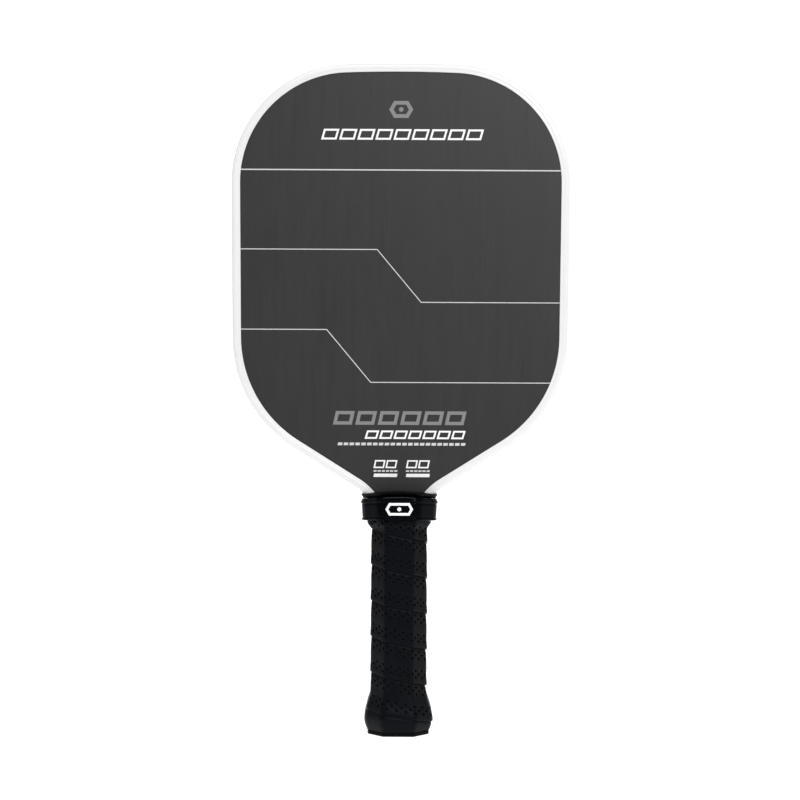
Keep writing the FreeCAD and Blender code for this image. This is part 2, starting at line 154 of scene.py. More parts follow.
CLUSTERS = (5.8 * MM, 17.1 * MM)  # heights of the two bands of holes above a turn's lower edge
HOLE_RINGS = (  # radius and depth of each ring, from the dimple inwards to the blind end
    (0.95 * MM, 0.03 * MM),
    (0.77 * MM, 0.11 * MM),
    (0.68 * MM, 0.30 * MM),
    (0.62 * MM, 1.10 * MM),
)

EIGHTH = math.pi / 4
INK = 0.03 * MM  # thickness of a print
WEAVE = 690  # texture scale of the peel-ply weave: a ridge every 0.46 mm


# ---- small helpers
def smooth(x):
    """0 below 0, 1 above 1, and an S curve between."""
    x = min(1.0, max(0.0, x))
    return x * x * (3 - 2 * x)


def mix(a, b, share):
    """The value a share of the way from a to b."""
    return a + (b - a) * share


def mesh_piece(name, vertices, faces, body, slot, sharp):
    """A closed, welded mesh with outward normals, shaded smooth up to a sharp angle."""
    mesh = bpy.data.meshes.new(name)
    mesh.from_pydata(vertices, [], faces)
    work = bmesh.new()
    work.from_mesh(mesh)
    bmesh.ops.remove_doubles(work, verts=work.verts, dist=1e-6)
    bmesh.ops.dissolve_degenerate(work, dist=1e-6, edges=work.edges)
    loose = [vertex for vertex in work.verts if not vertex.link_faces]
    bmesh.ops.delete(work, geom=loose, context="VERTS")
    bmesh.ops.recalc_face_normals(work, faces=work.faces)
    work.to_mesh(mesh)
    work.free()
    mesh.polygons.foreach_set("use_smooth", [True] * len(mesh.polygons))
    mesh.set_sharp_from_angle(angle=math.radians(sharp))
    piece = bpy.data.objects.new(name, mesh)
    show(piece)
    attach(piece, body)
    return piece


def show(item):
    """Puts an object into the scene."""
    bpy.context.scene.collection.objects.link(item)


def give(piece, material):
    """Makes a material the only one on a piece."""
    piece.data.materials.clear()
    piece.data.materials.append(material)


def loop_faces(rows, columns, closed_rows=False, closed_columns=False):
    """Quads of a grid of rows x columns vertices, numbered row by row."""
    faces = []
    for i in range(rows if closed_rows else rows - 1):
        for j in range(columns if closed_columns else columns - 1):
            a = i * columns + j
            b = i * columns + (j + 1) % columns
            c = ((i + 1) % rows) * columns + (j + 1) % columns
            d = ((i + 1) % rows) * columns + j
            faces.append((a, b, c, d))
    return faces


# ---- eight-sided sections
class Section:
    """Eight-sided outline with rounded corners, walked anticlockwise from the middle of its +X side."""

    def __init__(self, width, depth, leg, rounding):
        setback = rounding * math.tan(EIGHTH / 2)
        side = depth - 2 * (leg + setback)
        front = width - 2 * (leg + setback)
        chamfer = leg * math.sqrt(2) - 2 * setback
        x, y, heading = width / 2, 0.0, math.pi / 2
        self.pieces = []
        self.length = 0.0
        self.rounding = rounding
        straights = [side / 2, chamfer, front, chamfer, side, chamfer, front, chamfer, side / 2]
        for k, straight in enumerate(straights):
            self.pieces.append((self.length, x, y, heading, False))
            x += straight * math.cos(heading)
            y += straight * math.sin(heading)
            self.length += straight
            if k == len(straights) - 1:
                break
            self.pieces.append((self.length, x, y, heading, True))
            turned = heading + EIGHTH
            x += rounding * (math.sin(turned) - math.sin(heading))
            y += rounding * (math.cos(heading) - math.cos(turned))
            heading = turned
            self.length += rounding * EIGHTH

    def at(self, share, outwards=0.0):
        """Point at a share of the way round, moved outwards along the outline's normal."""
        distance = (share % 1.0) * self.length
        start, x, y, heading, curved = self.pieces[0]
        for piece in self.pieces[1:]:
            if piece[0] > distance:
                break
            start, x, y, heading, curved = piece
        run = distance - start
        if curved:
            turned = heading + run / self.rounding
            x += self.rounding * (math.sin(turned) - math.sin(heading))
            y += self.rounding * (math.cos(heading) - math.cos(turned))
            heading = turned
        else:
            x += run * math.cos(heading)
            y += run * math.sin(heading)
        return x + outwards * math.sin(heading), y - outwards * math.cos(heading)


def grown_section(width, depth, leg, rounding, grow):
    """A section with every side moved outwards."""
    return Section(width + 2 * grow, depth + 2 * grow, leg + grow * (2 - math.sqrt(2)), rounding + grow)


def flare_growth(z):
    """How much wider the grip is at a height than along its straight stretch, at the butt."""
    if z >= FLARE_TOP:
        return 0.0
    if z >= FLARE_PEAK:
        return FLARE_GROWTH * (1 + math.cos(math.pi * (z - FLARE_PEAK) / (FLARE_TOP - FLARE_PEAK))) / 2
    rise = (z - FLANGE_HEIGHT) / (FLARE_PEAK - FLANGE_HEIGHT)
    return FLARE_FOOT_GROWTH + (FLARE_GROWTH - FLARE_FOOT_GROWTH) * math.sin(rise * math.pi / 2)


STRAIGHT_GRIP = Section(GRIP_WIDTH, GRIP_DEPTH, GRIP_LEG, CORNER_ROUND)
LAND = Section(LAND_WIDTH, LAND_DEPTH, LAND_LEG, LAND_ROUND)


def grip_section(z):
    """The outside of the wound grip at a height."""
    if FLARE_TOP <= z <= NECK_BOTTOM:
        return STRAIGHT_GRIP
    if z < FLARE_TOP:
        return grown_section(GRIP_WIDTH, GRIP_DEPTH, GRIP_LEG, CORNER_ROUND, flare_growth(z) / 2)
    if z >= LAND_BOTTOM:
        return LAND
    share = smooth((z - NECK_BOTTOM) / (LAND_BOTTOM - NECK_BOTTOM))
    return Section(
        mix(GRIP_WIDTH, LAND_WIDTH, share),
        mix(GRIP_DEPTH, LAND_DEPTH, share),
        mix(GRIP_LEG, LAND_LEG, share),
        mix(CORNER_ROUND, LAND_ROUND, share),
    )


# ---- grip strip, wound from the butt up
def strip_low(turn):
    """Height of the strip's lower edge: level for the first turn, then climbing by one pitch a turn."""
    climb = turn - 1.0
    if abs(climb) < CLIMB_BLEND:
        climb = (climb + CLIMB_BLEND) ** 2 / (4 * CLIMB_BLEND)
    return GRIP_FOOT + PITCH * max(0.0, climb)


def strip_high(turn):
    """Height of the strip's upper edge, tucked under the next turn and cut level at the top."""
    return min(strip_low(turn + 1) + OVERLAP, GRIP_TOP)


def covered(depth):
    """Height of the strip's outside where the next turn lies over it, by the depth under that turn."""
    return -TUCK - (GRIP_THICKNESS - SKIVED_EDGE - TUCK) * min(1.0, depth / OVERLAP)


def strip_outside(turn, z):
    """How far the strip's outside stands off the grip's nominal surface."""
    above_edge = z - strip_low(turn)
    above_next = z - strip_low(turn + 1)
    if above_next > 0:
        return covered(above_next)
    wound = smooth((turn - 1.0) / WOUND_BLEND)
    calm = 1 - smooth((z - CALM_BOTTOM) / CALM_RUN)
    rim = 1 - min(1.0, above_edge / LIP_RUN)
    height = RIDGE * wound * (1 - smooth(above_edge / RIDGE_RUN))
    height += CROWN_RISE * math.sin(math.pi * min(1.0, above_edge / PITCH))
    height *= calm
    height -= mix(FIRST_LIP_ROUND, LIP_ROUND, wound) * (1 - math.sqrt(1 - rim * rim))
    return height - TUCK * smooth(1 + above_next / TUCK_RUN)


def strip_inside(turn, z):
    """Height of the strip's underside: on the turn below along its lower edge, then on the handle."""
    above_edge = z - strip_low(turn)
    if turn < 1.0 or above_edge >= OVERLAP:
        return -GRIP_THICKNESS
    return covered(above_edge) + TURN_GAP


def strip_point(turn, above_edge, sink=0.0, inside=False):
    """A point of the strip, by the turn it is on and its height above that turn's lower edge."""
    z = min(strip_low(turn) + above_edge, strip_high(turn))
    height = strip_inside(turn, z) if inside else strip_outside(turn, z) - sink
    x, y = grip_section(z).at(START_SHARE - turn, height)
    return x, y, z


def strip_levels():
    """Heights of the grid's lines across the strip, and the first line of each row of hole cells."""
    levels = list(EDGE_LEVELS)
    rows = []
    for middle in CLUSTERS:
        foot = middle - HOLE_ROWS / 2 * CELL_HEIGHT
        levels.append((levels[-1] + foot) / 2)
        for k in range(HOLE_ROWS * CELL_QUADS):
            if k % CELL_QUADS == 0:
                rows.append(len(levels))
            levels.append(foot + CELL_HEIGHT * k / CELL_QUADS)
        levels.append(foot + HOLE_ROWS * CELL_HEIGHT)
    levels += [PITCH + level for level in SEAM_LEVELS]
    return levels, rows


def cell_border():
    """Grid steps round a hole's cell, as (along, across) from its first corner."""
    near = [(k, 0) for k in range(CELL_QUADS)]
    right = [(CELL_QUADS, k) for k in range(CELL_QUADS)]
    far = [(CELL_QUADS - k, CELL_QUADS) for k in range(CELL_QUADS)]
    left = [(0, CELL_QUADS - k) for k in range(CELL_QUADS)]
    return near + right + far + left


def build_strip():
    """The whole strip as one closed mesh, with blind holes punched in staggered rows."""
    levels, hole_rows = strip_levels()
    last_turn = 1.0 + (GRIP_TOP - GRIP_FOOT) / PITCH - END_TRIM
    cells = round(last_turn * STRAIGHT_GRIP.length / CELL_LENGTH)
    columns = len(levels)
    rows = CELL_QUADS * cells + 1
    turn_step = last_turn / (rows - 1)
    vertices = [strip_point(i * turn_step, level) for i in range(rows) for level in levels]
    border = cell_border()
    sides = len(border)
    holed = set()
    faces = []

    def hole(i, j):
        """One hole in the cell that starts at grid line i along and j across."""
        previous = [(i + a) * columns + j + b for a, b in border]
        turn = (i + CELL_QUADS / 2) * turn_step
        above = (levels[j] + levels[j + CELL_QUADS]) / 2
        for radius, sink in HOLE_RINGS:
            ring = []
            for k in range(sides):
                angle = math.radians(225 + 360 / sides * k)
                along = radius * math.cos(angle) / STRAIGHT_GRIP.length
                ring.append(len(vertices))
                vertices.append(strip_point(turn + along, above + radius * math.sin(angle), sink))
            for k in range(sides):
                following = (k + 1) % sides
                faces.append((previous[k], previous[following], ring[following], ring[k]))
            previous = ring
        faces.append(tuple(previous))

    for cell in range(cells):
        for row, j in enumerate(hole_rows):
            i = CELL_QUADS * cell
            turn = (i + CELL_QUADS / 2) * turn_step
            clear = strip_low(turn) + levels[j + CELL_QUADS] < strip_high(turn) - HOLE_MARGIN
            if (cell + row) % 2 == 0 and turn > HOLES_FROM and clear:
                hole(i, j)
                holed.update((i + a, j + b) for a in range(CELL_QUADS) for b in range(CELL_QUADS))
    for i in range(rows - 1):
        for j in range(columns - 1):
            if (i, j) not in holed:
                a = i * columns + j
                faces.append((a, a + 1, a + columns + 1, a + columns))

    base = len(vertices)
    lanes = len(UNDER_LEVELS)
    for i in range(rows):
        vertices += [strip_point(i * turn_step, level, inside=True) for level in UNDER_LEVELS]
    for a, b, c, d in loop_faces(rows, lanes):
        faces.append((base + a, base + d, base + c, base + b))
    for i in range(rows - 1):
        top, bottom = i * columns, base + i * lanes
        faces.append((top, top + columns, bottom + lanes, bottom))
        top, bottom = top + columns - 1, bottom + lanes - 1
        faces.append((top, bottom, bottom + lanes, top + columns))
    for i in (0, rows - 1):
        top = [i * columns + j for j in range(columns)]
        bottom = [base + i * lanes + j for j in range(lanes)]
        faces.append(tuple(top + bottom[::-1]))
    return mesh_piece("grip_strip", vertices, faces, "paddle", "grip_black", sharp=60.0)


# ---- the head's outline, and the steps along its stretches
CROWN_STEPS = 16
TOP_CORNER_STEPS = 40
SIDE_STEPS = 10
LOWER_CORNER_STEPS = 34
SLOPE_STEPS = 8
THROAT_STEPS = 10
BISECTIONS = 40  # halvings in the search for the shoulder


def polar(centre, radius, angle):
    """The point at a radius and an angle from a centre."""
    return centre + Vector((math.cos(angle), math.sin(angle))) * radius


def head_frame():
    """Centres of the outline's arcs on the right side, in (x, z), and the angles between them."""
    crown = Vector((0, LENGTH - CROWN_RADIUS))
    top_x = WIDTH / 2 - TOP_CORNER_RADIUS
    reach = CROWN_RADIUS - TOP_CORNER_RADIUS
    top = Vector((top_x, crown.y + math.sqrt(reach**2 - top_x**2)))
    low = Vector((WIDTH / 2 - SIDE_TAPER - LOWER_CORNER_RADIUS, LOWER_CORNER_HEIGHT))
    between = top - low
    lean = math.atan2(between.y, between.x)
    lean -= math.acos((LOWER_CORNER_RADIUS - TOP_CORNER_RADIUS) / between.length)
    slope = THROAT_SLOPE - math.pi / 2
    normal = Vector((math.cos(slope), math.sin(slope)))
    throat_x = OUTLINE_TANG + THROAT_RADIUS
    offset = normal.dot(low) + LOWER_CORNER_RADIUS + THROAT_RADIUS
    throat = Vector((throat_x, (normal.x * throat_x - offset) / -normal.y))
    shoulder = math.atan2(top.y - crown.y, top.x - crown.x)
    return crown, top, low, throat, shoulder, lean, slope


def shoulder_arch(x, top=SHOULDER_TOP, radius=SHOULDER_CROWN):
    """Height of an arch across the handle: the shoulder's, unless told otherwise."""
    return top - radius + math.sqrt(radius**2 - x**2)


def outline_lane(depth):
    """Points of the right half of the head's outline at a depth inside it, down to the shoulder."""
    crown, top, low, throat, shoulder, lean, slope = head_frame()
    points = []

    def arc(centre, radius, start, end, steps):
        points.extend(polar(centre, radius, mix(start, end, k / steps)) for k in range(steps))

    def line(start, end, steps):
        points.extend(start.lerp(end, k / steps) for k in range(steps))

    top_radius = TOP_CORNER_RADIUS - depth
    low_radius = LOWER_CORNER_RADIUS - depth
    throat_radius = THROAT_RADIUS + depth
    facing = slope + math.pi
    arc(crown, CROWN_RADIUS - depth, math.pi / 2, shoulder, CROWN_STEPS)
    arc(top, top_radius, shoulder, lean, TOP_CORNER_STEPS)
    line(polar(top, top_radius, lean), polar(low, low_radius, lean), SIDE_STEPS)
    arc(low, low_radius, lean, slope, LOWER_CORNER_STEPS)
    line(polar(low, low_radius, slope), polar(throat, throat_radius, facing), SLOPE_STEPS)
    high, under = facing, math.pi
    for _ in range(BISECTIONS):
        middle = (high + under) / 2
        point = polar(throat, throat_radius, middle)
        if point.y > shoulder_arch(point.x):
            high = middle
        else:
            under = middle
    arc(throat, throat_radius, facing, under, THROAT_STEPS)
    points.append(polar(throat, throat_radius, under))
    return points


def half_width(z, depth):
    """Half of the head's width at a height, at a depth inside the outline."""
    lane = outline_lane(depth)
    for upper, lower in zip(lane, lane[1:]):
        if lower.y <= z <= upper.y:
            return mix(upper.x, lower.x, (upper.y - z) / (upper.y - lower.y))
    return 0.0


# ---- edge guard
def guard_profile():
    """Half of the channel's section as (depth inwards, height off the middle), from outside to inside."""
    top = PANEL_HALF + GUARD_FLANGE
    lip = GUARD_OVERLAP - GUARD_LIP
    points = [*GUARD_SEAM, (0.0, top - GUARD_CORNER)]
    for k in range(1, ROUND_STEPS + 1):
        angle = math.pi / 2 * k / ROUND_STEPS
        across = GUARD_CORNER * (1 - math.cos(angle))
        points.append((across, top - GUARD_CORNER * (1 - math.sin(angle))))
    points += [(depth, top - drop) for depth, drop in GUARD_GROOVE]
    bead_top = points[-1][1]
    radius = (bead_top - PANEL_HALF) / 2
    points.append((lip, bead_top))
    for k in range(1, ROUND_STEPS):
        angle = math.pi / 2 - math.pi * k / ROUND_STEPS
        points.append((lip + GUARD_LIP * math.cos(angle), PANEL_HALF + radius * (1 + math.sin(angle))))
    points += [(lip, PANEL_HALF), (GUARD_WEB, PANEL_HALF), (GUARD_WEB, 0.0)]
    return points


def build_guard():
    """The channel, swept round the head from one side of the shoulder to the other."""
    half = guard_profile()
    loop = half + [(depth, -height) for depth, height in reversed(half[1:-1])]
    lanes = [outline_lane(depth) for depth, _ in loop]
    stations = len(lanes[0])
    vertices = []
    for i in range(-(stations - 1), stations):
        side = -1 if i < 0 else 1
        for (_, height), lane in zip(loop, lanes):
            point = lane[abs(i)]
            vertices.append((side * point.x, -height, point.y))
    faces = loop_faces(2 * stations - 1, len(loop), closed_columns=True)
    faces.append(tuple(range(len(loop))))
    faces.append(tuple(range(len(vertices) - len(loop), len(vertices))))
    return mesh_piece("edge_guard_channel", vertices, faces, "paddle", "guard_white", sharp=40.0)


# ---- rubber collar and its mark
def collar_wall(rise):
    """Outside of the collar off the land, by the share of its height, without its beads."""
    return COLLAR_BORE + mix(COLLAR_WALL_FOOT, COLLAR_WALL_TOP, rise)


def collar_profile():
    """Closed section as (share of the height, distance off the land), outside first, from the foot up."""
    height = COLLAR_TOP - COLLAR_BOTTOM
    points = []

    def outside(from_foot, proud=0.0):
        rise = from_foot / height
        points.append((rise, collar_wall(rise) + proud))

    def rounded(drop, set_in, radius, start, end, first):
        """A round stretch about a centre below the top, between two angles in degrees."""
        for k in range(first, BEAD_STEPS + 1):
            angle = math.radians(start + (end - start) * k / BEAD_STEPS)
            outside(height - drop + radius * math.sin(angle), -set_in + radius * math.cos(angle))

    for from_foot, proud in FOOT_LIP:
        outside(from_foot, proud)
    for k in range(ROUND_STEPS + 1):
        angle = math.pi * k / ROUND_STEPS
        outside(FOOT_BEAD_MIDDLE - FOOT_BEAD_REACH * math.cos(angle), FOOT_BEAD_PROUD * math.sin(angle))
    for from_foot, proud in FOOT_GROOVE:
        outside(from_foot, proud)
    band_foot = FOOT_GROOVE[-1][0]
    for k in range(1, ROUND_STEPS + 1):
        outside(mix(band_foot, height - BAND_DROP, k / ROUND_STEPS))
    for drop, proud in TOP_GROOVE:
        outside(height - drop, proud)
    rounded(TOP_BEAD_DROP, TOP_BEAD_SET_IN, TOP_BEAD_RADIUS, -80, 30, first=0)
    rounded(RIM_RADIUS, RIM_SET_IN, RIM_RADIUS, 30, 90, first=1)
    points += [(1.0, COLLAR_BORE + COLLAR_EDGE), (1.0 - COLLAR_EDGE_SHARE, COLLAR_BORE)]
    points += [(0.5, COLLAR_BORE), (COLLAR_EDGE_SHARE, COLLAR_BORE), (0.0, COLLAR_BORE + COLLAR_EDGE)]
    return points


def collar_place(share, rise, off):
    """A point on the collar: arched at the top like the shoulder, more gently at the foot."""
    x, y = LAND.at(share, off)
    top = shoulder_arch(x, COLLAR_TOP)
    foot = shoulder_arch(x, COLLAR_BOTTOM, COLLAR_FOOT_CROWN)
    return x, y, mix(foot, top, rise)


def build_collar():
    """The elastic ring, its section carried once round the land."""
    profile = collar_profile()
    round_steps = 192
    vertices = []
    for k in range(round_steps):
        vertices += [collar_place(k / round_steps, rise, off) for rise, off in profile]
    faces = loop_faces(round_steps, len(profile), closed_rows=True, closed_columns=True)
    return mesh_piece("collar_ring", vertices, faces, "collar", "collar_rubber", sharp=70.0)


def collar_front(z):
    """Y of the collar's front facet at a height in the middle."""
    return -(LAND_DEPTH / 2 + collar_wall((z - COLLAR_BOTTOM) / (COLLAR_TOP - COLLAR_BOTTOM)))


def long_hexagon(middle, length, rise):
    """Corners of a hexagon drawn out along X, with 60 degree points at its ends."""
    shoulder = length / 2 - rise / 2 / math.sqrt(3)
    x, z = middle
    return [
        (x + length / 2, z),
        (x + shoulder, z + rise / 2),
        (x - shoulder, z + rise / 2),
        (x - length / 2, z),
        (x - shoulder, z - rise / 2),
        (x + shoulder, z - rise / 2),
    ]


def hexagon(middle, across_flats):
    """Corners of a regular hexagon with two upright sides."""
    radius = across_flats / math.sqrt(3)
    angles = [math.radians(30 + 60 * k) for k in range(6)]
    return [(middle[0] + radius * math.cos(a), middle[1] + radius * math.sin(a)) for a in angles]


def plate(outer, inner, surface, out=-1.0, thickness=INK):
    """Vertices and faces of a thin band between two outlines, or a full plate, on a surface y(x, z)."""
    vertices, faces = [], []
    count = len(outer)
    rings = [outer] if inner is None else [outer, inner]
    for lift in (0.0, thickness):
        for ring in rings:
            vertices += [(x, surface(x, z) + out * lift, z) for x, z in ring]
    size = count * len(rings)
    if inner is None:
        faces += [tuple(range(count)), tuple(range(count, 2 * count))]
    for k in range(count):
        following = (k + 1) % count
        faces.append((k, following, size + following, size + k))
        if inner is not None:
            for base in (0, size):
                faces.append((base + k, base + following, base + count + following, base + count + k))
            faces.append((count + k, count + following, size + count + following, size + count + k))
    return vertices, faces


def joined(parts):
    """Several (vertices, faces) pairs as one."""
    vertices, faces = [], []
    for more_vertices, more_faces in parts:
        faces += [tuple(index + len(vertices) for index in face) for face in more_faces]
        vertices += more_vertices
    return vertices, faces


def build_collar_mark():
    """The long hexagonal band with a dot in it, following the slope of the collar's front."""
    low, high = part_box("collar_emblem")
    middle = (0.0, (low.z + high.z) / 2)
    length, rise = high.x - low.x, high.z - low.z
    band, dot = 1.5 * MM, 2.2 * MM
    seat, proud = 0.3 * MM, 0.16 * MM
    inner = long_hexagon(middle, length - 4 * band / math.sqrt(3), rise - 2 * band)

    def surface(x, z):
        return collar_front(z) + seat

    parts = [
        plate(long_hexagon(middle, length, rise), inner, surface, thickness=seat + proud),
        plate(hexagon(middle, dot), None, surface, thickness=seat + proud),
    ]
    return mesh_piece("collar_mark", *joined(parts), "collar", "emblem_white", sharp=30.0)


# ---- printed graphics on the faces
def ribbon(points, width, surface, out):
    """A thin band of even width along a polyline in (x, z), mitred at its corners."""
    left, right = [], []
    for k, point in enumerate(points):
        here = Vector(point)
        before = (here - Vector(points[k - 1])).normalized() if k else None
        after = (Vector(points[k + 1]) - here).normalized() if k + 1 < len(points) else None
        before, after = before or after, after or before
        along = (before + after).normalized()
        normal = Vector((-along.y, along.x))
        reach = width / 2 / max(0.2, normal.dot(Vector((-before.y, before.x))))
        left.append(here + normal * reach)
        right.append(here - normal * reach)
    outline = [tuple(p) for p in left] + [tuple(p) for p in reversed(right)]
    vertices, faces = [], []
    count = len(points)
    for lift in (0.0, INK):
        vertices += [(x, surface + out * lift, z) for x, z in outline]
    size = 2 * count
    for k in range(count - 1):
        for base in (0, size):
            faces.append((base + k, base + k + 1, base + size - 2 - k, base + size - 1 - k))
    for k in range(size):
        following = (k + 1) % size
        faces.append((k, following, size + following, size + k))
    return vertices, faces


def slanted_bar(x, z, length, rise, slant):
    """Corners of a parallelogram with its lower left corner at (x, z)."""
    lean = slant * rise
    return [(x, z), (x + length, z), (x + length + lean, z + rise), (x + lean, z + rise)]


def slanted_frame(x, z, length, rise, slant, stroke):
    """Outer and inner corners of a parallelogram drawn with an even stroke."""
    side = stroke * math.sqrt(1 + slant**2)
    inner = slanted_bar(x + side + slant * stroke, z + stroke, length - 2 * side, rise - 2 * stroke, slant)
    return slanted_bar(x, z, length, rise, slant), inner


def mark_row(left, right, low, high, count, gap, slant, stroke=None):
    """A row of equal slanted marks between two sides, as (outer, inner) outlines; solid without a stroke."""
    rise = high - low
    length = (right - left - slant * rise - gap * (count - 1)) / count
    marks = []
    for k in range(count):
        x = left + k * (length + gap)
        if stroke:
            marks.append(slanted_frame(x, low, length, rise, slant, stroke))
        else:
            marks.append((slanted_bar(x, low, length, rise, slant), None))
    return marks


def face_sides():
    """The two faces: name, y of the sheet's outside, which way is out, and which way X runs."""
    return (
        ("front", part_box("face_sheet_front")[0].y, -1.0, 1.0),
        ("back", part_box("face_sheet_back")[1].y, 1.0, -1.0),
    )


STRIPE_TOP = 337.1 * MM
STEPS = (  # height of each stepped stripe on the left and on the right, and where its step starts
    (289.5 * MM, 258.0 * MM, -14.0 * MM),
    (241.5 * MM, 210.0 * MM, -44.0 * MM),
)
STEP_LEAN = 0.84  # run of a step for each mm it drops
STRIPE_WIDE = 0.72 * MM
STRIPE_FINE = 0.52 * MM
UNDER_GUARD = GUARD_OVERLAP - 0.8 * MM
EMBLEM_CENTRE = (0.0, 373.4 * MM)
EMBLEM_OUTER = (14.4 * MM, 10.2 * MM)  # length and height of the emblem's hexagon
EMBLEM_INNER = (9.2 * MM, 5.7 * MM)
EMBLEM_DOT = 2.6 * MM
SMALL_PANELS = ((-15.6 * MM, -1.2 * MM), (3.8 * MM, 18.2 * MM))  # left and right side of each
ROW_RIGHT = 39.5 * MM  # where the narrow rows low on the face end


def stepped_stripes():
    """Two stripes that step down from left to right, from edge to edge."""
    paths = []
    for high, low, start in STEPS:
        left = half_width(high, UNDER_GUARD)
        right = half_width(low, UNDER_GUARD)
        end = start + (high - low) * STEP_LEAN
        paths.append([(-left, high), (start, high), (end, low), (right, low)])
    return paths


def white_marks():
    """Rows of slanted marks under the emblem and low on the face, and two small panels below them."""
    heights = {"low": 355.2 * MM, "high": 361.6 * MM}
    marks = mark_row(-47.9 * MM, 49.6 * MM, **heights, count=9, gap=1.6 * MM, slant=0.28, stroke=1.15 * MM)
    heights = {"low": 176.2 * MM, "high": 181.2 * MM}
    marks += mark_row(-21.0 * MM, ROW_RIGHT, **heights, count=7, gap=1.3 * MM, slant=0.30, stroke=1.05 * MM)
    heights = {"low": 158.7 * MM, "high": 163.5 * MM}
    for left, right in SMALL_PANELS:
        marks += mark_row(left, right, **heights, count=2, gap=0.9 * MM, slant=0.20, stroke=0.85 * MM)
        marks += mark_row(left, right, low=153.4 * MM, high=155.4 * MM, count=1, gap=0.0, slant=0.20)
    return marks


def fine_marks():
    """Rows of short dashes, as fine as small print."""
    heights = {"low": 172.3 * MM, "high": 173.9 * MM}
    marks = mark_row(-37.1 * MM, ROW_RIGHT, **heights, count=22, gap=0.85 * MM, slant=0.2)
    for left, right in SMALL_PANELS:
        marks += mark_row(left, right, low=156.5 * MM, high=157.5 * MM, count=6, gap=0.6 * MM, slant=0.2)
    return marks


def grey_marks():
    """The emblem, a hexagon with a dot in it, and a row of broad slanted marks low on the face."""
    ring = long_hexagon(EMBLEM_CENTRE, *EMBLEM_OUTER), long_hexagon(EMBLEM_CENTRE, *EMBLEM_INNER)
    dot = hexagon(EMBLEM_CENTRE, EMBLEM_DOT), None
    heights = {"low": 184.6 * MM, "high": 192.8 * MM}
    row = mark_row(-40.0 * MM, 40.0 * MM, **heights, count=6, gap=2.1 * MM, slant=0.22, stroke=2.0 * MM)
    return [ring, dot, *row]


def build_graphics(white, grey, fine):
    """Stripes, slanted marks and a plain six-sided emblem, printed alike on both faces."""

    def printed(name, parts, ink):
        give(mesh_piece(name, *joined(parts), "paddle", "emblem_white", sharp=30.0), ink)

    for side, y, out, way in face_sides():

        def turned(outline):
            return [(x * way, z) for x, z in outline] if outline else None

        def plates(marks):
            return [plate(turned(outer), turned(inner), lambda x, z: y, out) for outer, inner in marks]

        reach = half_width(STRIPE_TOP, UNDER_GUARD)
        top = ribbon([(-reach, STRIPE_TOP), (reach, STRIPE_TOP)], STRIPE_WIDE, y, out)
        steps = [ribbon(turned(path), STRIPE_FINE, y, out) for path in stepped_stripes()]
        printed(f"print_white_{side}", plates(white_marks()), white)
        printed(f"print_grey_{side}", plates(grey_marks()), grey)
        printed(f"print_fine_{side}", [top] + plates(fine_marks()), fine)
        printed(f"print_steps_{side}", steps, fine)


# ---- butt medallion
def build_badge():
    """Round medallion with a raised rim and seven raised honeycomb cells, facing down."""
    low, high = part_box("butt_badge")
    radius, face, back = high.x, low.z, high.z
    recess = 0.12 * MM
    cell_ring, cell_outer, cell_inner = 4.3 * MM, 4.0 * MM, 2.9 * MM
    cell_foot, cell_rise = 0.14 * MM, 0.16 * MM
    profile = [
        (0.0, face + recess),
        (radius * 0.80, face + recess),
        (radius * 0.84, face + 0.10 * MM),
        (radius * 0.87, face),
        (radius * 0.96, face),
        (radius - 0.05 * MM, face + recess),
        (radius - 0.03 * MM, back),
        (0.0, back),
    ]
    steps = 72
    vertices = []
    for k in range(steps):
        angle = 2 * math.pi * k / steps
        vertices += [(r * math.cos(angle), r * math.sin(angle), z) for r, z in profile]
    disc = vertices, loop_faces(steps, len(profile), closed_rows=True)
    directions = [math.pi / 3 * k for k in range(6)]
    cells = [(0.0, 0.0)] + [(cell_ring * math.cos(a), cell_ring * math.sin(a)) for a in directions]
    parts = [disc]
    for cell in cells:
        outer = hexagon(cell, cell_outer)
        inner = hexagon(cell, cell_inner)
        flat, faces = plate(outer, inner, lambda x, z: 0.0, out=1.0, thickness=cell_rise)
        parts.append(([(x, y, face + cell_foot - lift) for x, lift, y in flat], faces))
    return mesh_piece("butt_medallion", *joined(parts), "paddle", "badge_black", sharp=35.0)


